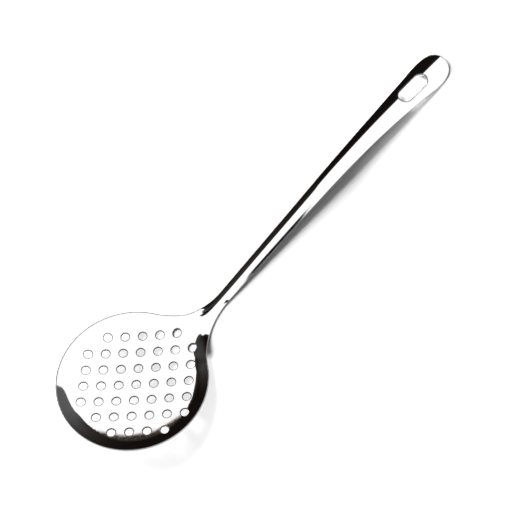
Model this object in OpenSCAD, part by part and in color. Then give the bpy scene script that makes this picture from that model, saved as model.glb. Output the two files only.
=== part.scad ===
// Perforated skimmer: a round dished bowl and a crowned handle pressed from one steel sheet.
// It is drawn as it lies on a table: the flat neck on z = 0, the bowl leaning back,
// the handle arching over to its tip. +X runs along the handle, +Z is up.

/* [Sheet] */
// Thickness of the sheet, whose edges are rounded over
sheet_t = 1.2; // [0.9:0.1:1.6]

/* [Bowl] */
// Diameter of the bowl, measured on the crest of the rim
bowl_d = 110; // [104:1:118]
// Depth of the bowl, from the crest of the rim to the upper face of its bottom
bowl_depth = 11; // [10:0.5:14]
// Radius of the gentle dish of the bottom
dish_r = 420; // [300:10:700]
// Inside radius of the corner between bottom and wall
corner_r = 11; // [8:0.5:12]
// Angle of the wall to the plane of the rim
wall_a = 55; // [48:1:60]

/* [Holes] */
// Diameter of one drain hole
hole_d = 6; // [4:0.5:7]
// Step between the rows of holes, measured along the handle
hole_step_x = 9.55; // [9:0.05:9.8]
// Step between the columns of holes, measured across
hole_step_y = 8.5; // [8:0.05:8.8]
// Shift of the hole pattern from the middle of the bowl towards the handle
hole_shift = 2.1; // [1:0.1:2.5]

/* [Neck] */
// Width of the neck
neck_w = 10.4; // [8:0.2:14]
// Plan radius where the rim sweeps into the neck
neck_sweep_r = 52; // [44:1:56]
// Length of the flat neck that lies on the table
neck_flat = 16; // [14:1:20]
// Length over which the wall of the bowl runs out along the neck
wall_run_out = 22; // [18:1:28]

/* [Handle] */
// Length of the whole skimmer
total_l = 380; // [360:1:400]
// Angle at which the handle leaves the table
handle_rise = 3.7; // [3.5:0.1:6]
// Bend radius where the handle leaves the table
rise_r = 60; // [40:5:100]
// Length of the straight part of the handle
straight_l = 130; // [100:1:140]
// Height of the middle of the tip above the middle of the neck
tip_h = 1.6; // [1.6:0.1:5]
// Greatest width of the handle, near its end
end_w = 25.4; // [20:0.2:28]
// Length of the rounded end
end_l = 26; // [18:1:30]
// Height of the crown across the handle, as a share of its half width
crown_share = 0.3; // [0.15:0.01:0.34]
// Length over which the flat neck takes on the crown
crown_run_in = 28; // [24:1:60]

/* [Hanging slot] */
// Width of the slot
slot_w = 11.4; // [6:0.2:12.6]
// Length of the slot
slot_l = 26; // [16:0.5:30]
// Distance from the middle of the slot to the end of the handle
slot_from_end = 32.5; // [28:0.5:40]

/* [Pose] */
// Angle at which the bowl leans back when the skimmer lies on its neck
lean = 17; // [15:0.5:19]

/* [Hidden] */
steel = [0.86, 0.86, 0.87];
far = 600;

// Bowl profile as [radius, height]: a dished bottom, a corner arc, a straight wall
// and a round edge with its crest at z = 0. The corner's centre lies one corner radius
// inside the wall's face and one corner radius inside the dish.
rim_r = bowl_d / 2;
edge_r = sheet_t / 2;
edge_c = [rim_r, -edge_r];
wall_up = [cos(wall_a), sin(wall_a)];
wall_in = [-sin(wall_a), cos(wall_a)];
dish_c = [0, dish_r - bowl_depth];
beside_rim = edge_c + (corner_r + edge_r) * wall_in;
to_rim = beside_rim - dish_c;
slide = to_rim * wall_up + sqrt(pow(to_rim * wall_up, 2) - to_rim * to_rim + pow(dish_r - corner_r, 2));
corner_c = beside_rim - slide * wall_up;
dish_a = atan2(corner_c[0], dish_c[1] - corner_c[1]);
bottom_r = dish_r * sin(dish_a);
wall_r = corner_c[0] + corner_r * sin(wall_a);
inner_edge = edge_c + edge_r * wall_in;
outer_edge = edge_c - edge_r * wall_in;

// Lowest line of the leaning bowl, where the flat neck starts
neck_x = corner_c[0] + corner_r * sin(lean);
neck_z = corner_c[1] - corner_r * cos(lean);
neck_start = neck_x * cos(lean) + neck_z * sin(lean);
lift = sheet_t + neck_x * sin(lean) - neck_z * cos(lean);
far_rim = edge_c[1] * sin(lean) - rim_r * cos(lean) - edge_r;
centre_x = far_rim + total_l / 2;

// Plan of the upper face's edge: the rim circle, a sweep circle that touches it, the neck
face_r = inner_edge[0];
face_neck = neck_w / 2 - edge_r;
sweep_y = face_neck + neck_sweep_r;
sweep_x = sqrt(pow(face_r + neck_sweep_r, 2) - sweep_y * sweep_y);
sweep_a = atan2(sweep_y, sweep_x);

// Middle line of the handle, in side view from the start of the flat neck:
// flat, bent up, straight, then one arch down to the tip
reach = total_l + far_rim - neck_start;
rise_x = neck_flat + rise_r * sin(handle_rise);
rise_z = rise_r * (1 - cos(handle_rise));
top_x = rise_x + straight_l * cos(handle_rise);
top_z = rise_z + straight_l * sin(handle_rise);
drop_a = atan2(top_z - tip_h, reach - top_x);
tip_a = handle_rise + 2 * drop_a;
arch_r = (reach - top_x) / (2 * sin(handle_rise + drop_a) * cos(drop_a));

// Stations: lengths along the middle line, zero at the start of the flat neck
seam_x = neck_x - 10;
seam_s = (seam_x + 1 - neck_x) / cos(lean);
sweep_s = (sweep_x - neck_x) / cos(lean);
rise_s = neck_flat + rise_r * handle_rise * PI / 180;
arch_s = rise_s + straight_l;
tip_s = arch_s + arch_r * (handle_rise + tip_a) * PI / 180;
end_s = tip_s - end_l;
slot_s = tip_s - slot_from_end;

// How the half width grows along the handle: a steady share and a late share
steady_share = 0.38;
late_power = 4.4;
end_power = 2.45;

// Fineness of the bowl's profile: steps along the dish, the corner and the round edge
dish_steps = 5;
corner_steps = 10;
round_steps = 8;

// Fineness of the swept sheet
across = 30;
edge_steps = 4;
step = 0.02;

// First rows of the swept sheet, each at a distance beyond the seam plane and at a depth
// within the sheet: a tongue that reaches into the turned bowl, then the full thickness
first_rows = [[-sheet_t / 3, sheet_t / 4], [0.02, sheet_t / 4], [0.03, 0]];

function unit(v) = v / norm(v);

function smooth(from, to, x) =
    let (t = min(1, max(0, (x - from) / (to - from))))
    t * t * (3 - 2 * t);

function soft_max(a, b, k) =
    let (h = max(0, k - abs(a - b)))
    max(a, b) + h * h / (4 * k);

// Height of a circle's lower half at radius x from the axis
function arc_z(c, r, x) = c[1] - sqrt(r * r - pow(x - c[0], 2));

// Height of the bowl's upper and lower face at radius x
function upper_z(x) =
    x <= bottom_r ? arc_z(dish_c, dish_r, x) :
    x < wall_r ? arc_z(corner_c, corner_r, x) :
    inner_edge[1] + (x - inner_edge[0]) * tan(wall_a);
function lower_z(x) =
    x <= (dish_r + sheet_t) * sin(dish_a) ? arc_z(dish_c, dish_r + sheet_t, x) :
    x < corner_c[0] + (corner_r + sheet_t) * sin(wall_a) ? arc_z(corner_c, corner_r + sheet_t, x) :
    outer_edge[1] + (x - outer_edge[0]) * tan(wall_a);

// Height that the wall adds above the dish, at a distance d in from the edge
function wall_rise(d) =
    d < face_r - bottom_r ? upper_z(face_r - d) - arc_z(dish_c, dish_r, face_r - d) : 0;

// Distance in from the edge: from the rim circle, or from the sweep circle near the neck
function from_edge(x, y) =
    atan2(abs(y), x) > sweep_a ? face_r - norm([x, y]) :
    norm([x - sweep_x, abs(y) - sweep_y]) - neck_sweep_r;

// Height of the wall, running out along the neck
function wall_z(x, y) =
    (1 - smooth(neck_x, neck_x + wall_run_out, x)) * wall_rise(from_edge(x, y));

// From the bowl's frame to the lying pose
function lie(p) = [
    p[0] * cos(lean) + p[2] * sin(lean),
    p[1],
    p[2] * cos(lean) - p[0] * sin(lean) + lift
];

// Slope of the middle line at a station, and its place [x, z] there
function slope(s) =
    s < neck_flat ? 0 :
    s < rise_s ? (s - neck_flat) / rise_r * 180 / PI :
    s < arch_s ? handle_rise :
    handle_rise - (s - arch_s) / arch_r * 180 / PI;
function middle(s) =
    let (a = slope(s))
    s < neck_flat ? [s, 0] :
    s < rise_s ? [neck_flat + rise_r * sin(a), rise_r * (1 - cos(a))] :
    s < arch_s ? [rise_x + (s - rise_s) * cos(a), rise_z + (s - rise_s) * sin(a)] :
    [top_x + arch_r * (sin(handle_rise) - sin(a)), top_z + arch_r * (cos(a) - cos(handle_rise))];

// Half width of the upper face along the handle, and of the whole plan with its rounded end
function handle_half(s) =
    let (t = min(1.1, max(0, (s - sweep_s) / (end_s - sweep_s))))
    face_neck + (end_w - neck_w) / 2 * (steady_share * t + (1 - steady_share) * pow(t, late_power));
function half_width(s) =
    let (x = neck_x + s * cos(lean))
    let (t = min(1, max(0, (s - end_s) / (end_l - edge_r))))
    let (w = x < face_r * cos(sweep_a) ? sqrt(face_r * face_r - x * x) :
             x < sweep_x ? sweep_y - sqrt(pow(neck_sweep_r, 2) - pow(sweep_x - x, 2)) :
             handle_half(s))
    w * pow(1 - pow(t, end_power), 1 / end_power);

// Drop of the crown below the middle line at y
function crown(s, y) =
    smooth(rise_s, rise_s + crown_run_in, s) * crown_share * y * y / max(handle_half(s), half_width(s));

// A point of the upper face in the lying pose
function face(s, y) =
    let (x = neck_x + s * cos(lean))
    s < neck_flat / 2 ?
        lie([x, y, soft_max(arc_z(dish_c, dish_r, norm([x, y])), neck_z + (x - neck_x) * tan(lean), 0.3) + wall_z(x, y)]) :
        let (m = middle(s))
        let (a = slope(s))
        [
            neck_start + m[0] + crown(s, y) * sin(a) + wall_z(x, y) * sin(lean),
            y,
            sheet_t + m[1] - crown(s, y) * cos(a) + wall_z(x, y) * cos(lean)
        ];

// Square to the sheet, and outward from its edge within the sheet
function normal(s, y) =
    unit(cross(face(s + step, y) - face(s - step, y), face(s, y + step) - face(s, y - step)));
function outward(s, v) =
    let (y = v * half_width(s))
    abs(v) < 1 ?
        unit(cross(face(s, y + step) - face(s, y - step), normal(s, y))) :
        v * unit(cross(normal(s, y), face(s, y) - face(s - step, v * half_width(s - step))));

// Point of the sheet at place v across, a share of the half width, turned by angle a
// from the upper face (0) round the edge to the lower face (180)
function sheet_point(s, v, a) =
    let (n = normal(s, v * half_width(s)))
    let (o = a % 180 == 0 ? [0, 0, 0] : outward(s, v))
    face(s, v * half_width(s)) - edge_r * n + edge_r * (cos(a) * n + sin(a) * o);

// The same for first row i, a plane section of the turned bowl
function first_edge(i, a) =
    edge_c + (edge_r - first_rows[i][1]) * (cos(a) * wall_in + sin(a) * wall_up);
function first_point(i, v, a) =
    let (x = seam_x + first_rows[i][0])
    let (y = sqrt(pow(first_edge(i, a)[0], 2) - x * x) * v)
    let (z = abs(v) == 1 ? first_edge(i, a)[1] :
             a == 0 ? upper_z(norm([x, y])) - first_rows[i][1] :
             lower_z(norm([x, y])) + first_rows[i][1])
    lie([x, y, z]);

// Rows of points: wall running out, crown coming in, handle, rounded end
run_s = wall_run_out / cos(lean);
full_s = max(sweep_s, rise_s + crown_run_in);
rows = concat(
    [for (i = [0:16]) seam_s + (run_s - seam_s) * i / 16],
    [for (i = [1:8]) run_s + (full_s - run_s) * i / 8],
    [for (i = [1:26]) full_s + (end_s - full_s) * i / 26],
    [for (i = [1:11]) end_s + (end_l - edge_r) * pow(sin(87 * i / 11), 2 / end_power)]
);
firsts = len(first_rows);
last = firsts + len(rows) - 1;
wide = across + 1;
spread = [for (j = [0:across]) let (t = 2 * j / across - 1) 0.35 * t + 0.65 * sin(90 * t)];

function row_point(i, v, a) =
    i < firsts ? first_point(i, v, a) : sheet_point(rows[i - firsts], v, a);
function grid(a) = [for (i = [0:last], v = spread) row_point(i, v, a)];

// Walk round the edge as [row, place]: out along one side, across the tip, back along the other
walk = concat(
    [for (i = [0:last]) [i, 0]],
    [for (j = [1:across - 1]) [last, j]],
    [for (i = [last:-1:0]) [i, across]]
);
edge_points = [
    for (k = [1:edge_steps - 1], w = walk)
        row_point(w[0], spread[w[1]], 180 * k / edge_steps)
];

// Number of a point on the walk, at level 0 (upper face) to edge_steps (lower face)
under = wide * (last + 1);
function number(q, k) =
    k == 0 ? walk[q][0] * wide + walk[q][1] :
    k == edge_steps ? under + walk[q][0] * wide + walk[q][1] :
    2 * under + (k - 1) * len(walk) + q;

function pair(a, b, c, d) = [[a, b, c], [a, c, d]];
upper_cells = [
    for (i = [0:last - 1], j = [0:across - 1])
        let (a = i * wide + j)
        each pair(a, a + 1, a + 1 + wide, a + wide)
];
lower_cells = [
    for (i = [0:last - 1], j = [0:across - 1])
        let (a = under + i * wide + j)
        each pair(a, a + wide, a + 1 + wide, a + 1)
];
edge_cells = [
    for (q = [0:len(walk) - 2], k = [0:edge_steps - 1])
        each pair(number(q, k), number(q + 1, k), number(q + 1, k + 1), number(q, k + 1))
];
first_cells = concat(
    [for (j = [0:across - 1]) each pair(j + 1, j, under + j, under + j + 1)],
    [for (k = [1:edge_steps - 1]) [0, number(0, k), number(0, k + 1)]],
    [for (k = [1:edge_steps - 1]) [across, number(len(walk) - 1, k + 1), number(len(walk) - 1, k)]]
);

// Points on an arc about c, from one angle to another, measured from straight down
function arc(c, r, from, to, n) =
    [for (i = [0:n]) let (a = from + (to - from) * i / n) c + r * [sin(a), -cos(a)]];

// Section of the bowl: dished bottom, corner, wall and round edge, all of one thickness
module bowl_section() {
    polygon(concat(
        arc(dish_c, dish_r, 0, dish_a, dish_steps),
        arc(corner_c, corner_r, dish_a, wall_a, corner_steps),
        arc(edge_c, edge_r, 180 + wall_a, wall_a, round_steps),
        arc(corner_c, corner_r + sheet_t, wall_a, dish_a, corner_steps),
        arc(dish_c, dish_r + sheet_t, dish_a, 0, dish_steps)
    ));
}

module lying() {
    translate([0, 0, lift])
        rotate([0, lean, 0])
            children();
}

// Turned part of the bowl, up to the seam plane
module bowl() {
    intersection() {
        rotate_extrude($fn = 240)
            bowl_section();
        translate([seam_x - far, -far / 2, -far / 2])
            cube(far);
    }
}

// Neck and handle: the same sheet, swept on from the seam plane to the tip
module neck_and_handle() {
    polyhedron(
        points = concat(grid(0), grid(180), edge_points),
        faces = concat(upper_cells, lower_cells, edge_cells, first_cells),
        convexity = 6
    );
}

// Drain holes: diagonal rows, without those that would run into the wall
module drain_holes() {
    for (a = [-4:5])
        for (b = [-5:5])
            if ((a + b) % 2 == 0 && abs(a) + abs(b) <= 6)
                translate([hole_shift + a * hole_step_x, b * hole_step_y, -2 * bowl_depth])
                    cylinder(d = hole_d, h = 2 * bowl_depth, $fn = 48);
}

// Slot with round ends near the end of the handle
module hanging_slot() {
    half = (slot_l - slot_w) / 2;
    high = end_w / 2;
    translate([neck_start + middle(slot_s)[0], 0, middle(slot_s)[1]])
        rotate([0, -slope(slot_s), 0]) {
            for (x = [-half, half])
                translate([x, 0, -high])
                    cylinder(d = slot_w, h = 2 * high, $fn = 64);
            translate([-half, -slot_w / 2, -high])
                cube([2 * half, slot_w, 2 * high]);
        }
}

module skimmer() {
    color(steel)
        translate([-centre_x, 0, 0])
            union() {
                lying()
                    difference() {
                        bowl();
                        drain_holes();
                    }
                difference() {
                    neck_and_handle();
                    lying()
                        drain_holes();
                    hanging_slot();
                }
            }
}

skimmer();
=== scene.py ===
import math

import bpy
import numpy as np
from mathutils import Matrix, Vector
from mathutils.geometry import delaunay_2d_cdt


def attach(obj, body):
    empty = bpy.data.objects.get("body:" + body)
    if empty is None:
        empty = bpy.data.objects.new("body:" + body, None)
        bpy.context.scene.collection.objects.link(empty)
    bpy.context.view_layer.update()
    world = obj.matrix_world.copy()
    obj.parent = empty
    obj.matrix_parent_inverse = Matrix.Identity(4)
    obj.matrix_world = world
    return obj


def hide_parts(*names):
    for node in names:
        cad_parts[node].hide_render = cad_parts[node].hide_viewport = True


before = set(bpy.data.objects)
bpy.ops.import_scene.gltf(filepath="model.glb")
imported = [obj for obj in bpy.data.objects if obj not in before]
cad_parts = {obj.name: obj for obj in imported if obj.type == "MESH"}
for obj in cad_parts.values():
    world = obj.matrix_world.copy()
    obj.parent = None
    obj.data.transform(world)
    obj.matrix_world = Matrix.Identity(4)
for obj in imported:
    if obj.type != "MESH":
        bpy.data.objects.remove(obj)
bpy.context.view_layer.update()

mm = 0.001

# Sizes of the pressed sheet in millimetres, as in the part
sheet = {
    "thickness": 1.2,
    "bowlDiameter": 110.0,
    "bowlDepth": 11.0,
    "dishRadius": 420.0,
    "cornerRadius": 11.0,
    "wallAngle": 55.0,
    "neckWidth": 10.4,
    "neckSweep": 52.0,
    "neckFlat": 16.0,
    "neckBlend": 0.3,  # rounding where the dish meets the flat neck
    "wallRunOut": 22.0,
    "length": 380.0,
    "handleRise": 3.7,
    "riseRadius": 60.0,
    "straight": 130.0,
    "tipHeight": 1.6,
    "endWidth": 25.4,
    "endLength": 26.0,
    "crownShare": 0.3,
    "crownRunIn": 28.0,
    "lean": 17.0,
    "steadyShare": 0.38,
    "latePower": 4.4,
    "endPower": 2.45,
}

holes = {
    "diameter": 6.0,
    "stepAlong": 9.55,
    "stepAcross": 8.5,
    "shift": 2.1,
    "along": (-4, 5),  # first and last row along the handle's axis
    "across": (-5, 5),  # first and last row across it
    "reach": 6,  # rows along and across that a hole may lie from the middle, added up
    "edgeRadius": 0.35,
}

slot = {
    "width": 11.4,
    "length": 26.0,
    "fromEnd": 32.5,
    "edgeRadius": 0.25,
}

# How far the shading of the bowl's wall tilts, in degrees
polish = {
    "shadeStart": 14.0,
    "shadeTilt": 24.0,
}

# How fine the mesh is, in millimetres between points
fineness = {
    "bowlStep": 1.15,
    "handleStep": 1.5,
    "handleColumns": 26,
    "rimStep": 0.8,
    "sideStep": 1.2,
    "rowSpacing": 0.87,  # rows of the bowl's grid, as a part of bowlStep
    "capPoints": 30,
    "holePoints": 40,
    "slotArcPoints": 36,
    "slotSidePoints": 14,
    # rings of points round each hole, as distance from its lip and number of points, and one round the slot
    "holeRings": ((0.45, 40), (1.0, 32)),
    "slotRing": 0.7,
    "gridPast": 2.0,  # how far past the neck the bowl's grid goes before the handle's rows begin
    "rimClear": 0.75,  # from the bowl's grid to the outline, as a part of bowlStep
    "ringClear": 0.5,  # from the holes' rings to the outline
    "holeClear": 1.45,  # from the grid and the rows to the holes' lips
    "slotClear": 1.2,  # and to the slot's lip
    "endClear": 0.6,  # from the last row to the tip
}


def sinD(angle):
    # sine of degrees
    return np.sin(np.radians(angle))


def cosD(angle):
    # cosine of degrees
    return np.cos(np.radians(angle))


# Derived values of the section and the plan, in the bowl's own frame
lean = sheet["lean"]
wallAngle = sheet["wallAngle"]
dishRadius = sheet["dishRadius"]
cornerRadius = sheet["cornerRadius"]
halfSheet = sheet["thickness"] / 2
rimRadius = sheet["bowlDiameter"] / 2
roundCentre = np.array([rimRadius, -halfSheet])
wallUp = np.array([cosD(wallAngle), sinD(wallAngle)])
wallIn = np.array([-sinD(wallAngle), cosD(wallAngle)])
dishCentre = np.array([0.0, dishRadius - sheet["bowlDepth"]])
besideRim = roundCentre + (cornerRadius + halfSheet) * wallIn
toRim = besideRim - dishCentre
alongWall = toRim @ wallUp
slide = alongWall + math.sqrt(alongWall ** 2 - toRim @ toRim + (dishRadius - cornerRadius) ** 2)
cornerCentre = besideRim - slide * wallUp
dishAngle = math.degrees(math.atan2(cornerCentre[0], dishCentre[1] - cornerCentre[1]))
bottomRadius = dishRadius * sinD(dishAngle)
wallRadius = cornerCentre[0] + cornerRadius * sinD(wallAngle)
innerEdge = roundCentre + halfSheet * wallIn

neckX = cornerCentre[0] + cornerRadius * sinD(lean)
neckZ = cornerCentre[1] - cornerRadius * cosD(lean)
neckStart = neckX * cosD(lean) + neckZ * sinD(lean)
lift = sheet["thickness"] + neckX * sinD(lean) - neckZ * cosD(lean)
farRim = roundCentre[1] * sinD(lean) - rimRadius * cosD(lean) - halfSheet
centreX = farRim + sheet["length"] / 2

faceRadius = innerEdge[0]
faceNeck = sheet["neckWidth"] / 2 - halfSheet
sweepY = faceNeck + sheet["neckSweep"]
sweepX = math.sqrt((faceRadius + sheet["neckSweep"]) ** 2 - sweepY ** 2)
sweepAngle = math.degrees(math.atan2(sweepY, sweepX))

# The handle's middle line in side view: flat, bent up, straight, one arch down to the tip
rise = sheet["handleRise"]
reach = sheet["length"] + farRim - neckStart
riseX = sheet["neckFlat"] + sheet["riseRadius"] * sinD(rise)
riseZ = sheet["riseRadius"] * (1 - cosD(rise))
topX = riseX + sheet["straight"] * cosD(rise)
topZ = riseZ + sheet["straight"] * sinD(rise)
dropAngle = math.degrees(math.atan2(topZ - sheet["tipHeight"], reach - topX))
tipAngle = rise + 2 * dropAngle
archRadius = (reach - topX) / (2 * sinD(rise + dropAngle) * cosD(dropAngle))
riseS = sheet["neckFlat"] + sheet["riseRadius"] * math.radians(rise)
archS = riseS + sheet["straight"]
tipS = archS + archRadius * math.radians(rise + tipAngle)
endS = tipS - sheet["endLength"]
slotS = tipS - slot["fromEnd"]
sweepS = (sweepX - neckX) / cosD(lean)
tipX = neckX + (tipS - halfSheet) * cosD(lean)


def smoothStep(start, stop, x):
    # three t squared minus two t cubed
    t = np.clip((x - start) / (stop - start), 0, 1)
    return t * t * (3 - 2 * t)


def softMax(a, b, k):
    # the larger of two heights, rounded over a distance k where they cross
    h = np.maximum(0, k - np.abs(a - b))
    return np.maximum(a, b) + h * h / (4 * k)


def lowerHalf(centre, radius, x):
    # height of a circle's lower half
    return centre[1] - np.sqrt(np.maximum(radius ** 2 - (x - centre[0]) ** 2, 0))


def bowlHeight(radius):
    # dish, then corner arc, then straight wall
    wall = innerEdge[1] + (radius - innerEdge[0]) * math.tan(math.radians(wallAngle))
    inCorner = np.where(radius < wallRadius, lowerHalf(cornerCentre, cornerRadius, radius), wall)
    return np.where(radius <= bottomRadius, lowerHalf(dishCentre, dishRadius, radius), inCorner)


def wallHeight(x, y):
    # what the wall adds above the dish at a distance in from the rim or the sweep, run out along the neck
    radius = np.hypot(x, y)
    alongRim = faceRadius - radius
    alongSweep = np.hypot(x - sweepX, np.abs(y) - sweepY) - sheet["neckSweep"]
    beyond = np.degrees(np.arctan2(np.abs(y), x)) > sweepAngle
    inward = faceRadius - np.where(beyond, alongRim, alongSweep)
    added = np.where(inward > bottomRadius, bowlHeight(inward) - lowerHalf(dishCentre, dishRadius, inward), 0)
    return (1 - smoothStep(neckX, neckX + sheet["wallRunOut"], x)) * added


def slopeAt(s):
    # slope of the middle line in degrees: none, growing in the bend, steady, then falling along the arch
    inBend = np.degrees((s - sheet["neckFlat"]) / sheet["riseRadius"])
    inArch = rise - np.degrees((s - archS) / archRadius)
    slope = np.where(s < archS, rise, inArch)
    slope = np.where(s < riseS, inBend, slope)
    return np.where(s < sheet["neckFlat"], 0.0, slope)


def middleAt(s):
    # place of the middle line in side view, at the same stretches as its slope
    a = slopeAt(s)
    x = np.where(s < archS, riseX + (s - riseS) * cosD(a), topX + archRadius * (sinD(rise) - sinD(a)))
    z = np.where(s < archS, riseZ + (s - riseS) * sinD(a), topZ + archRadius * (cosD(a) - cosD(rise)))
    x = np.where(s < riseS, sheet["neckFlat"] + sheet["riseRadius"] * sinD(a), x)
    z = np.where(s < riseS, sheet["riseRadius"] * (1 - cosD(a)), z)
    flat = s < sheet["neckFlat"]
    return np.where(flat, s, x), np.where(flat, 0.0, z)


def handleHalf(s):
    # half width that grows by a steady share and a late share
    t = np.clip((s - sweepS) / (endS - sweepS), 0, 1.1)
    steady = sheet["steadyShare"]
    grown = steady * t + (1 - steady) * t ** sheet["latePower"]
    return faceNeck + (sheet["endWidth"] - sheet["neckWidth"]) / 2 * grown


def halfWidth(x):
    # half width of the upper face over the plan: rim circle, sweep circle, handle, rounded end
    s = (x - neckX) / cosD(lean)
    power = sheet["endPower"]
    t = np.clip((s - endS) / (sheet["endLength"] - halfSheet), 0, 1)
    rim = np.sqrt(np.maximum(faceRadius ** 2 - x ** 2, 0))
    sweep = sweepY - np.sqrt(np.maximum(sheet["neckSweep"] ** 2 - (sweepX - x) ** 2, 0))
    wide = np.where(x < sweepX, sweep, handleHalf(s))
    wide = np.where(x < faceRadius * cosD(sweepAngle), rim, wide)
    return wide * (1 - t ** power) ** (1 / power)


def crownDrop(s, x, y):
    # a parabola across the handle that runs in along it
    run = smoothStep(riseS, riseS + sheet["crownRunIn"], s)
    return run * sheet["crownShare"] * y * y / np.maximum(handleHalf(s), halfWidth(x))


def upperFace(plan):
    # point of the upper face over a plan point (x, y): the bowl's frame leaned back, then the swept handle
    x, y = plan[:, 0], plan[:, 1]
    s = (x - neckX) / cosD(lean)
    radius = np.hypot(x, y)
    floor = neckZ + (x - neckX) * math.tan(math.radians(lean))
    dish = lowerHalf(dishCentre, dishRadius, np.minimum(radius, 2 * faceRadius))
    z = softMax(dish, floor, sheet["neckBlend"]) + wallHeight(x, y)
    leaned = np.stack([x * cosD(lean) + z * sinD(lean), y, z * cosD(lean) - x * sinD(lean) + lift], 1)
    mx, mz = middleAt(s)
    a = slopeAt(s)
    drop = crownDrop(s, x, y)
    wall = wallHeight(x, y)
    swept = np.stack([
        neckStart + mx + drop * sinD(a) + wall * sinD(lean),
        y,
        sheet["thickness"] + mz - drop * cosD(a) + wall * cosD(lean),
    ], 1)
    place = np.where((s < sheet["neckFlat"] / 2)[:, None], leaned, swept)
    place[:, 0] -= centreX
    return place


def unit(v):
    # vectors divided by their lengths
    return v / np.maximum(np.linalg.norm(v, axis=1, keepdims=True), 1e-12)


def faceNormal(plan, step=0.02):
    # cross product of the slopes along and across
    along, across = np.array([step, 0.0]), np.array([0.0, step])
    return unit(np.cross(upperFace(plan + along) - upperFace(plan - along),
                         upperFace(plan + across) - upperFace(plan - across)))


def softWall(normal, plan):
    # the drawn wall is polished round: its shading tilt from the bowl's axis levels off towards shadeTilt
    axis = np.array([sinD(lean), 0.0, cosD(lean)])
    up = (normal @ axis)[:, None]
    level = normal - up * axis
    tilt = np.degrees(np.arctan2(np.linalg.norm(level, axis=1), up[:, 0]))
    start, most = polish["shadeStart"], polish["shadeTilt"]
    over = np.maximum(tilt - start, 0)
    soft = np.radians(np.minimum(tilt, start) + (most - start) * (1 - np.exp(-over / (most - start))))[:, None]
    rounded = np.cos(soft) * axis + np.sin(soft) * unit(level)
    alongPlan = level[:, 0] * cosD(lean) - level[:, 2] * sinD(lean)
    inward = alongPlan * plan[:, 0] + level[:, 1] * plan[:, 1] < 0
    share = (1 - smoothStep(neckX, neckX + sheet["wallRunOut"], plan[:, 0])) * inward * (up[:, 0] > 0)
    return unit(normal + share[:, None] * (rounded - normal))


def outlineLoop():
    # the upper face's edge, anticlockwise from the tip: handle side, sweep, rim circle, and back mirrored
    step = fineness["rimStep"]
    endX = neckX + endS * cosD(lean)
    cap = np.sin(np.radians(np.linspace(90, 0, fineness["capPoints"]))) ** (2 / sheet["endPower"])
    capX = endX + (tipX - endX) * cap[1:]
    sideX = np.linspace(endX, sweepX, int((endX - sweepX) / fineness["sideStep"]))[1:]
    # 0.7 and 2.6 are about the angles of the sweep and of half the rim, in radians
    turn = np.radians(np.linspace(270, 180 + sweepAngle, int(sheet["neckSweep"] * 0.7 / step)))[1:]
    sweep = np.stack([sweepX + sheet["neckSweep"] * np.cos(turn), sweepY + sheet["neckSweep"] * np.sin(turn)], 1)
    half = np.radians(np.linspace(sweepAngle, 180, int(faceRadius * 2.6 / step)))[1:]
    rim = faceRadius * np.stack([np.cos(half), np.sin(half)], 1)
    straight = np.concatenate([capX, sideX])
    side = np.stack([straight, halfWidth(straight)], 1)
    upper = np.concatenate([side, sweep, rim])
    lower = upper[:-1][::-1] * np.array([1.0, -1.0])
    return np.concatenate([np.array([[tipX, 0.0]]), upper, lower])


def holeCentres():
    # every other crossing of a grid of rows, within a rhomb
    alongRows, acrossRows = (np.arange(first, last + 1) for first, last in (holes["along"], holes["across"]))
    a, b = np.meshgrid(alongRows, acrossRows, indexing="ij")
    keep = ((a + b) % 2 == 0) & (np.abs(a) + np.abs(b) <= holes["reach"])
    return np.stack([holes["shift"] + a[keep] * holes["stepAlong"], b[keep] * holes["stepAcross"]], 1)


def slotLoop(extra):
    # stadium outline: two half circles joined by straight sides, widened by extra
    radius = slot["width"] / 2 + extra
    half = (slot["length"] - slot["width"]) / 2
    turn = np.radians(np.linspace(-90, 90, fineness["slotArcPoints"]))
    right = np.stack([half + radius * np.cos(turn), radius * np.sin(turn)], 1)
    side = np.linspace(half, -half, fineness["slotSidePoints"])[1:-1]
    top = np.stack([side, np.full(len(side), radius)], 1)
    loop = np.concatenate([right, top, -right, -top])
    return np.stack([neckX + (slotS + loop[:, 0]) * cosD(lean), loop[:, 1]], 1)


def circles(centres, radius, points):
    # a ring of points about each centre
    turn = np.linspace(0, 2 * np.pi, points, endpoint=False)
    ring = radius * np.stack([np.cos(turn), np.sin(turn)], 1)
    return centres[:, None, :] + ring[None, :, :]


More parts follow.
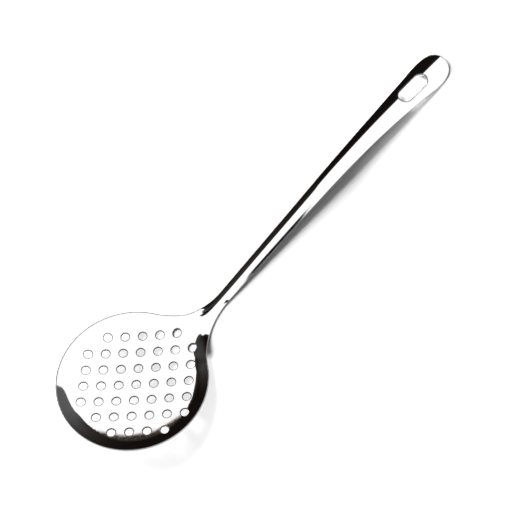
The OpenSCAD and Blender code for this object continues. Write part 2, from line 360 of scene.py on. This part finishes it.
def innerPoints(centres, holeRadius):
    # an even grid over the bowl and rows that follow the handle, kept clear of every edge
    step = fineness["bowlStep"]
    bandX = neckX + fineness["gridPast"]
    rowY = np.arange(-faceRadius, faceRadius, step * fineness["rowSpacing"])
    gridX, gridY = np.meshgrid(np.arange(-faceRadius, bandX, step), rowY)
    gridX = gridX + (np.arange(len(gridX)) % 2)[:, None] * step / 2
    bowl = np.stack([gridX.ravel(), gridY.ravel()], 1)
    bowl = bowl[np.abs(bowl[:, 1]) < halfWidth(bowl[:, 0]) - fineness["rimClear"] * step]
    rowX = np.arange(bandX + fineness["handleStep"], tipX - fineness["endClear"], fineness["handleStep"])
    share = np.linspace(-1, 1, fineness["handleColumns"] + 1)[1:-1]
    handle = np.stack([np.repeat(rowX, len(share)), (halfWidth(rowX)[:, None] * share[None, :]).ravel()], 1)
    rings = np.concatenate([circles(centres, holeRadius + d, n).reshape(-1, 2)
                            for d, n in fineness["holeRings"]])
    slotRing = slotLoop(slot["edgeRadius"] + fineness["slotRing"])
    points = np.concatenate([bowl, handle])
    away = np.hypot(points[:, None, 0] - centres[None, :, 0], points[:, None, 1] - centres[None, :, 1]).min(1)
    points = points[away > holeRadius + fineness["holeClear"]]
    rings = rings[np.abs(rings[:, 1]) < halfWidth(rings[:, 0]) - fineness["ringClear"]]
    points = points[slotDistance(points) > slot["edgeRadius"] + fineness["slotClear"]]
    return np.concatenate([points, rings, slotRing])


def slotDistance(plan):
    # distance outside the slot's stadium
    s = (plan[:, 0] - neckX) / cosD(lean) - slotS
    half = (slot["length"] - slot["width"]) / 2
    return np.hypot(np.maximum(np.abs(s) - half, 0), plan[:, 1]) - slot["width"] / 2


def edgeStrip(place, normal, firstUpper, count, firstLower, radius, inward, firstNew):
    # carries the rounded edge profile round one closed loop: quarter turn, wall, quarter turn
    ring = np.arange(count)
    p, n = place[firstUpper + ring], normal[firstUpper + ring]
    tangent = unit(np.roll(p, -1, 0) - np.roll(p, 1, 0))
    out = unit(np.cross(tangent, n)) * (-1 if inward else 1)
    depth = sheet["thickness"] * mm
    fullRound = radius >= depth / 2 - 1e-9
    angles = np.radians([18, 36, 54, 72, 90] if fullRound else [22.5, 45, 67.5, 90])
    upperArc = [p - radius * n + radius * (math.cos(a) * n + math.sin(a) * out) for a in angles]
    upperNormal = [math.cos(a) * n + math.sin(a) * out for a in angles]
    down = np.pi - angles[::-1]
    lowerArc = [p - (depth - radius) * n + radius * (math.cos(a) * n + math.sin(a) * out) for a in down]
    lowerNormal = [math.cos(a) * n + math.sin(a) * out for a in down]
    if fullRound:
        lowerArc, lowerNormal = lowerArc[1:], lowerNormal[1:]
    rows = upperArc + lowerArc
    index = np.concatenate([
        (firstUpper + ring)[None, :],
        firstNew + np.arange(len(rows) * count).reshape(len(rows), count),
        (firstLower + ring)[None, :],
    ])
    following = np.roll(index, -1, 1)
    quads = np.stack([index[:-1], following[:-1], following[1:], index[1:]], -1).reshape(-1, 4)
    if not inward:
        quads = quads[:, ::-1]
    turned = upperNormal + lowerNormal
    return np.concatenate(rows), np.concatenate(turned), quads, len(turned)


def planTriangles(loops, inner):
    # the plan between the outline, the holes and the slot as triangles that all turn the same way
    starts = np.cumsum([0] + [len(loop) for loop in loops])
    plan = np.concatenate(loops + [inner])
    edges = np.concatenate([
        np.stack([start + np.arange(len(loop)), start + np.roll(np.arange(len(loop)), -1)], 1)
        for start, loop in zip(starts, loops)])
    found = delaunay_2d_cdt([Vector(p) for p in plan.tolist()], edges.tolist(), [], 0, 1e-7)
    print("plan triangulated:", len(plan), "points,", len(found[0]), "kept,", len(found[2]), "triangles")
    plan = np.array([tuple(v) for v in found[0]])
    triangles = np.array(found[2])
    # only those inside the outline, and none whose three points are all on one hole
    middle = plan[triangles].mean(1)
    inside = np.abs(middle[:, 1]) < halfWidth(middle[:, 0])
    owner = np.zeros(len(plan), int)
    for number, (start, loop) in enumerate(zip(starts, loops)):
        owner[start:start + len(loop)] = number
    own = owner[triangles]
    inHole = (own[:, 0] > 0) & (own[:, 0] == own[:, 1]) & (own[:, 1] == own[:, 2])
    triangles = triangles[inside & ~inHole]
    first, second = plan[triangles[:, 1]] - plan[triangles[:, 0]], plan[triangles[:, 2]] - plan[triangles[:, 0]]
    turned = first[:, 0] * second[:, 1] - first[:, 1] * second[:, 0] < 0
    triangles[turned] = triangles[turned][:, ::-1]
    return plan, triangles, starts


def makeSheet():
    # upper face, lower face one thickness below it, and a rounded strip round the outline, the holes and the slot
    holeRadius = holes["diameter"] / 2 + holes["edgeRadius"]
    centres = holeCentres()
    holeLoops = circles(centres, holeRadius, fineness["holePoints"])
    loops = [outlineLoop(), *holeLoops, slotLoop(slot["edgeRadius"])]
    plan, triangles, starts = planTriangles(loops, innerPoints(centres, holeRadius))
    normal = faceNormal(plan)
    upper = upperFace(plan) * mm
    lower = upper - sheet["thickness"] * mm * normal
    total = len(plan)
    places, normals, quads = [upper, lower], [normal, -normal], []
    allPlace, allNormal = np.concatenate(places), np.concatenate(normals)
    radii = [halfSheet] + [holes["edgeRadius"]] * len(centres) + [slot["edgeRadius"]]
    # how matt each edge is, and how far painted shade darkens its colour
    matt = [steel["rimMattShade"]] + [steel["holeMattShade"]] * len(centres) + [steel["slotMattShade"]]
    edgeShare = [np.zeros(2 * total)]
    used = 2 * total
    for number, (start, loop, radius) in enumerate(zip(starts, loops, radii)):
        strip, stripNormal, cells, rows = edgeStrip(allPlace, allNormal, start, len(loop), total + start,
                                                    radius * mm, number > 0, used)
        if number == 0:
            stripNormal = softWall(stripNormal, np.tile(loop, (rows, 1)))
        else:
            # the lips of the holes and the slot carry it onto both faces too, a painted dark ring
            edgeShare[0][start:start + len(loop)] = matt[number]
            edgeShare[0][total + start:total + start + len(loop)] = matt[number]
        edgeShare.append(np.full(len(strip), matt[number]))
        places.append(strip)
        normals.append(stripNormal)
        quads.append(cells)
        used += len(strip)
    normals[0] = softWall(normal, plan)
    vertices = np.concatenate(places)
    normals = np.concatenate(normals)
    quads = np.concatenate(quads)
    corners = np.concatenate([triangles.ravel(), (triangles[:, ::-1] + total).ravel(), quads.ravel()])
    sizes = np.concatenate([np.full(2 * len(triangles), 3), np.full(len(quads), 4)])

    mesh = bpy.data.meshes.new("skimmerSheet")
    mesh.vertices.add(len(vertices))
    mesh.vertices.foreach_set("co", vertices.astype(np.float32).ravel())
    mesh.loops.add(len(corners))
    mesh.loops.foreach_set("vertex_index", corners.astype(np.int32))
    mesh.polygons.add(len(sizes))
    mesh.polygons.foreach_set("loop_start", np.concatenate([[0], np.cumsum(sizes)[:-1]]).astype(np.int32))
    mesh.update(calc_edges=True)
    mesh.validate(verbose=False)
    # per point share of rougher finish and of painted edge shade
    mattShadedEdge = mesh.attributes.new("mattShadedEdge", "FLOAT", "POINT")
    mattShadedEdge.data.foreach_set("value", np.concatenate(edgeShare).astype(np.float32))
    mesh.polygons.foreach_set("use_smooth", np.ones(len(mesh.polygons), bool))
    mesh.normals_split_custom_set_from_vertices(unit(normals).tolist())
    piece = bpy.data.objects.new("skimmer_sheet", mesh)
    bpy.context.scene.collection.objects.link(piece)
    print("sheet made:", len(vertices), "vertices,", len(sizes), "faces")
    return piece


steel = {
    "colour": (0.72, 0.72, 0.725, 1.0),
    "roughness": 0.02,
    "roughnessSpread": 0.04,
    "streakScale": (120, 900, 900),
    "streakDetail": 3.0,
    "streakRange": (0.35, 0.75),
    "wave": 0.00002,
    "waveScale": 45.0,
    "waveDetail": 1.0,
    # cut edges are rougher, and their near-black colour is painted shade that draws them as dark lines: their
    # colour and roughness, and how matt and shaded each kind of edge is
    "edgeShadeColour": (0.05, 0.05, 0.052, 1.0),
    "cutRoughness": 0.25,
    "rimMattShade": 0.65,
    "holeMattShade": 1.0,
    "slotMattShade": 0.85,
}


def mirrorSteel():
    # a mirror with faint streaks in its roughness, slight waves, and rougher cut edges darkened by painted shade
    material = bpy.data.materials.new("mirrorSteel")
    material.use_nodes = True
    nodes, links = material.node_tree.nodes, material.node_tree.links
    shader = nodes["Principled BSDF"]
    shader.inputs["Metallic"].default_value = 1.0
    place = nodes.new("ShaderNodeTexCoord")
    edge = nodes.new("ShaderNodeAttribute")
    edge.attribute_name = "mattShadedEdge"
    # along the edges the base colour turns near-black: painted shade that draws them as dark lines
    paint = nodes.new("ShaderNodeMix")
    paint.data_type = "RGBA"
    paint.inputs[6].default_value = steel["colour"]
    paint.inputs[7].default_value = steel["edgeShadeColour"]
    links.new(edge.outputs["Fac"], paint.inputs[0])
    links.new(paint.outputs[2], shader.inputs["Base Color"])
    grain = nodes.new("ShaderNodeMapping")
    grain.inputs["Scale"].default_value = steel["streakScale"]
    links.new(place.outputs["Object"], grain.inputs["Vector"])
    streaks = nodes.new("ShaderNodeTexNoise")
    streaks.inputs["Scale"].default_value = 1.0
    streaks.inputs["Detail"].default_value = steel["streakDetail"]
    links.new(grain.outputs["Vector"], streaks.inputs["Vector"])
    spread = nodes.new("ShaderNodeMapRange")
    spread.inputs["From Min"].default_value, spread.inputs["From Max"].default_value = steel["streakRange"]
    spread.inputs["To Min"].default_value = steel["roughness"]
    spread.inputs["To Max"].default_value = steel["roughness"] + steel["roughnessSpread"]
    links.new(streaks.outputs["Fac"], spread.inputs["Value"])
    rougher = nodes.new("ShaderNodeMath")
    rougher.operation = "MULTIPLY_ADD"
    rougher.inputs[1].default_value = steel["cutRoughness"]
    links.new(edge.outputs["Fac"], rougher.inputs[0])
    links.new(spread.outputs["Result"], rougher.inputs[2])
    links.new(rougher.outputs["Value"], shader.inputs["Roughness"])
    wave = nodes.new("ShaderNodeTexNoise")
    wave.inputs["Scale"].default_value = steel["waveScale"]
    wave.inputs["Detail"].default_value = steel["waveDetail"]
    links.new(place.outputs["Object"], wave.inputs["Vector"])
    bump = nodes.new("ShaderNodeBump")
    bump.inputs["Strength"].default_value = 1.0
    bump.inputs["Distance"].default_value = steel["wave"]
    links.new(wave.outputs["Fac"], bump.inputs["Height"])
    links.new(bump.outputs["Normal"], shader.inputs["Normal"])
    return material


# Angles in degrees and places in millimetres, in the bowl's own frame
view = {
    "azimuth": -125.90,
    "elevation": 59.33,
    "roll": -8.22,
    "distance": 1271.0,
    "target": (132.65, 11.52, 0.0),
    "focalPixels": 1709.6,
    "imagePixels": 512,
    "sensorWidth": 36.0,
}


def leanBack(p):
    # the bowl's own frame to the lying pose, a point
    x = p[0] * cosD(lean) + p[2] * sinD(lean) - centreX
    z = p[2] * cosD(lean) - p[0] * sinD(lean) + lift
    return Vector((x, p[1], z))


def makeCamera():
    # looks at the target from its azimuth and elevation, rolled about the line of sight
    azimuth, elevation, roll = (math.radians(view[k]) for k in ("azimuth", "elevation", "roll"))
    level = math.cos(elevation)
    back = Vector((level * math.cos(azimuth), level * math.sin(azimuth), math.sin(elevation)))
    side = Vector((0, 0, 1)).cross(back).normalized()
    top = back.cross(side)
    right = math.cos(roll) * side + math.sin(roll) * top
    upward = -math.sin(roll) * side + math.cos(roll) * top
    turn = Matrix.Rotation(math.radians(lean), 3, "Y")
    target = Vector(view["target"])
    spot = leanBack(target + view["distance"] * back) * mm
    axes = Matrix([turn @ v for v in (right, upward, back)]).transposed()
    data = bpy.data.cameras.new("camera")
    data.sensor_width = view["sensorWidth"]
    data.lens = view["sensorWidth"] * view["focalPixels"] / view["imagePixels"]
    camera = bpy.data.objects.new("camera", data)
    camera.matrix_world = Matrix.Translation(spot) @ axes.to_4x4()
    bpy.context.scene.collection.objects.link(camera)
    bpy.context.scene.camera = camera
    print("camera made")


studio = {
    "floorHalf": 4.0,
    "floorGrey": 0.155,
    "floorRoughness": 0.9,
    # area lamps: name, power, width and height, place in metres; the soft key light stands on the far side
    # and the low one reaches under the raised bowl
    "lamps": (("key", 560.0, (1.8, 1.8), (0.0, 1.66, 2.06)), ("low", 5500.0, (0.6, 0.24), (-3.9, 0.09, 0.45))),
    # a narrow spot at the camera's place that lights the floor behind the hanging slot: its aim is given
    # in millimetres to the side of the slot's middle
    "spotPower": 500.0,
    "spotAngle": 1.0,
    "spotBlend": 0.15,
    "spotRadius": 0.005,
    "spotAside": 1.5,
    # brightness of the white surroundings
    "white": 1.42,
    # dark surroundings: top of the dark part over the azimuth, both in degrees
    "darkTop": ((-15.5, -12), (-14, 28.5), (-5, 28.8), (7, 27.5), (13, 28), (19, 31), (25, 37.5), (31, 42.5),
                (37, 43.7), (43, 43.3), (49, 44), (55, 47), (61, 50.3), (79, 49.8), (88, 48.7), (91, 50.5),
                (92.5, 56), (96, 58), (99, 59.5), (102, 61.5), (104.5, 61.5), (105.5, 34), (107, 8), (108, -12)),
    # brightness of the dark part over the azimuth
    "darkLevel": ((-15, 0.1), (0, 0.1), (13, 0.12), (19, 0.1), (25, 0.062), (31, 0.036), (40, 0.015),
                  (50, 0.009), (88, 0.008), (95, 0.03), (100, 0.06), (108, 0.08)),
    # softness of its top edge, then how far below that edge it grows lighter and by how much
    "darkEdge": 0.35,
    "fringe": (12.0, 0.03),
    # its warm tint, and the azimuths between which that comes in and goes out
    "darkTint": (1.0, 0.78, 0.6, 1.0),
    "tintIn": (15.0, 50.0),
    "tintOut": (92.0, 100.0),
    # a dark patch above the far side: azimuth, elevation, half width and half height, and how dark it is
    "patch": (103.5, 57.5, 4.6, 5.2),
    "patchShare": 0.96,
    # from full to none at the edge of the patch and the strip, as squares of the share of their half sizes
    "ovalEdge": (0.85, 1.15),
    # a light strip low in the dark part, in the same numbers, and its brightness
    "strip": (54.5, 4.8, 8.5, 2.6),
    "stripLevel": 0.24,
    # a dark upright stand on the near side: from and to along X, and its top, as parts of a direction of length 1
    "stand": (-0.0985, -0.0475, 0.932),
    # half widths of its soft side and top edges, where it fades out along Y, and how dark it is
    "standEdges": (0.003, 0.008),
    "standFade": (-0.2, -0.1),
    "standShare": 0.992,
}


def makeFloor():
    # a plain matt square
    half = studio["floorHalf"]
    mesh = bpy.data.meshes.new("floor")
    mesh.from_pydata([(-half, -half, 0), (half, -half, 0), (half, half, 0), (-half, half, 0)], [], [(0, 1, 2, 3)])
    floor = bpy.data.objects.new("floor", mesh)
    bpy.context.scene.collection.objects.link(floor)
    paint = bpy.data.materials.new("floorPaint")
    paint.use_nodes = True
    shader = paint.node_tree.nodes["Principled BSDF"]
    shader.inputs["Base Color"].default_value = (studio["floorGrey"],) * 3 + (1,)
    shader.inputs["Roughness"].default_value = studio["floorRoughness"]
    shader.inputs["Specular IOR Level"].default_value = 0.0
    floor.data.materials.append(paint)
    print("floor made")


def makeSurroundings():
    # white all round, with a dark part low on the far side, a dark patch, a light strip and a small dark stand
    world = bpy.data.worlds.new("studio")
    bpy.context.scene.world = world
    world.use_nodes = True
    nodes, links = world.node_tree.nodes, world.node_tree.links
    backdrop = nodes["Background"]
    place = nodes.new("ShaderNodeTexCoord")
    parts = nodes.new("ShaderNodeSeparateXYZ")
    links.new(place.outputs["Generated"], parts.inputs["Vector"])

    def join(kind, a, b=0.0):
        node = nodes.new("ShaderNodeMath")
        node.operation = kind
        for value, socket in ((a, node.inputs[0]), (b, node.inputs[1])):
            if isinstance(value, (int, float)):
                socket.default_value = value
            else:
                links.new(value, socket)
        return node.outputs["Value"]

    def ramp(value, low, high, toLow, toHigh):
        node = nodes.new("ShaderNodeMapRange")
        node.interpolation_type = "SMOOTHSTEP"
        for name, number in (("From Min", low), ("From Max", high), ("To Min", toLow), ("To Max", toHigh)):
            node.inputs[name].default_value = number
        links.new(value, node.inputs["Value"])
        return node.outputs["Result"]

    def curve(value, points, low, high):
        # straight lines through (azimuth, number) points, numbers from low to high
        node = nodes.new("ShaderNodeFloatCurve")
        line = node.mapping.curves[0]
        scaled = [((a + 180) / 360, (n - low) / (high - low)) for a, n in points]
        scaled = [(0.0, scaled[0][1])] + scaled + [(1.0, scaled[-1][1])]
        line.points[0].location = scaled[0]
        line.points[1].location = scaled[-1]
        for spot in scaled[1:-1]:
            line.points.new(*spot)
        for point in line.points:
            point.handle_type = "VECTOR"
        node.mapping.update()
        links.new(value, node.inputs["Value"])
        return join("ADD", join("MULTIPLY", node.outputs["Value"], high - low), low)

    azimuth = join("DEGREES", join("ARCTAN2", parts.outputs["Y"], parts.outputs["X"]))
    elevation = join("DEGREES", join("ARCSINE", parts.outputs["Z"]))
    turn = join("ADD", join("DIVIDE", azimuth, 360.0), 0.5)
    below = join("SUBTRACT", elevation, curve(turn, studio["darkTop"], -12.0, 60.0))
    edge = studio["darkEdge"]
    inDark = join("MULTIPLY", ramp(below, -edge, edge, 1.0, 0.0), ramp(elevation, -1.0, 1.0, 0.0, 1.0))
    fringeHeight, fringeLevel = studio["fringe"]
    fringe = ramp(below, -fringeHeight, 0.0, 0.0, fringeLevel)

    def oval(atAzimuth, atElevation, halfWide, halfHigh):
        across = join("DIVIDE", join("SUBTRACT", azimuth, atAzimuth), halfWide)
        upward = join("DIVIDE", join("SUBTRACT", elevation, atElevation), halfHigh)
        away = join("ADD", join("MULTIPLY", across, across), join("MULTIPLY", upward, upward))
        return ramp(away, *studio["ovalEdge"], 1.0, 0.0)

    inStrip = join("MULTIPLY", oval(*studio["strip"]), studio["stripLevel"])
    level = join("ADD", join("ADD", curve(turn, studio["darkLevel"], 0.0, 0.15), fringe), inStrip)
    inPatch = oval(*studio["patch"])
    fromX, toX, standTop = studio["stand"]
    sideEdge, topEdge = studio["standEdges"]
    inStand = join("MULTIPLY", ramp(parts.outputs["X"], fromX - sideEdge, fromX + sideEdge, 0.0, 1.0),
                   ramp(parts.outputs["X"], toX - sideEdge, toX + sideEdge, 1.0, 0.0))
    inStand = join("MULTIPLY", inStand, ramp(parts.outputs["Y"], *studio["standFade"], 1.0, 0.0))
    inStand = join("MULTIPLY", inStand, ramp(parts.outputs["Z"], standTop - topEdge, standTop + topEdge, 1.0, 0.0))
    inPatch = join("MULTIPLY", inPatch, studio["patchShare"])
    extra = join("MAXIMUM", inPatch, join("MULTIPLY", inStand, studio["standShare"]))
    white = join("MULTIPLY", join("SUBTRACT", 1.0, inDark), studio["white"])
    dark = join("MULTIPLY", inDark, level)
    bright = join("MULTIPLY", join("ADD", white, dark), join("SUBTRACT", 1.0, extra))
    links.new(bright, backdrop.inputs["Strength"])
    tint = nodes.new("ShaderNodeMix")
    tint.data_type = "RGBA"
    tint.inputs[6].default_value = (1, 1, 1, 1)
    tint.inputs[7].default_value = studio["darkTint"]
    warm = join("MULTIPLY", ramp(azimuth, *studio["tintIn"], 0.0, 1.0), ramp(azimuth, *studio["tintOut"], 1.0, 0.0))
    links.new(join("MULTIPLY", inDark, warm), tint.inputs[0])
    links.new(tint.outputs[2], backdrop.inputs["Color"])
    print("surroundings made")


def placeLamp(name, data, power, spot, aim):
    # a lamp that shines from spot to aim and isn't seen itself, also not in the steel
    data.energy = power
    lamp = bpy.data.objects.new(name, data)
    lamp.location = spot
    lamp.rotation_euler = (aim - spot).to_track_quat("-Z", "Y").to_euler()
    lamp.visible_camera = False
    lamp.visible_glossy = False
    bpy.context.scene.collection.objects.link(lamp)


def makeLamps():
    # the area lamps aim at the frame's origin, the spot at the slot
    for name, power, size, spot in studio["lamps"]:
        data = bpy.data.lights.new(name, "AREA")
        data.shape = "RECTANGLE"
        data.size, data.size_y = size
        placeLamp(name, data, power, Vector(spot), Vector())
    data = bpy.data.lights.new("spot", "SPOT")
    data.spot_size = math.radians(studio["spotAngle"])
    data.spot_blend = studio["spotBlend"]
    data.shadow_soft_size = studio["spotRadius"]
    besideSlot = upperFace(np.array([[neckX + slotS * cosD(lean), studio["spotAside"]]]))[0]
    eye = bpy.context.scene.camera.matrix_world.translation
    placeLamp("spot", data, studio["spotPower"], eye, Vector(besideSlot) * mm)
    bpy.context.scene.view_settings.view_transform = "Standard"
    print("lamps made")


makeCamera()
skimmer = makeSheet()
skimmer.data.materials.append(mirrorSteel())
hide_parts("skimmer")
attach(skimmer, "root")
makeFloor()
makeSurroundings()
makeLamps()
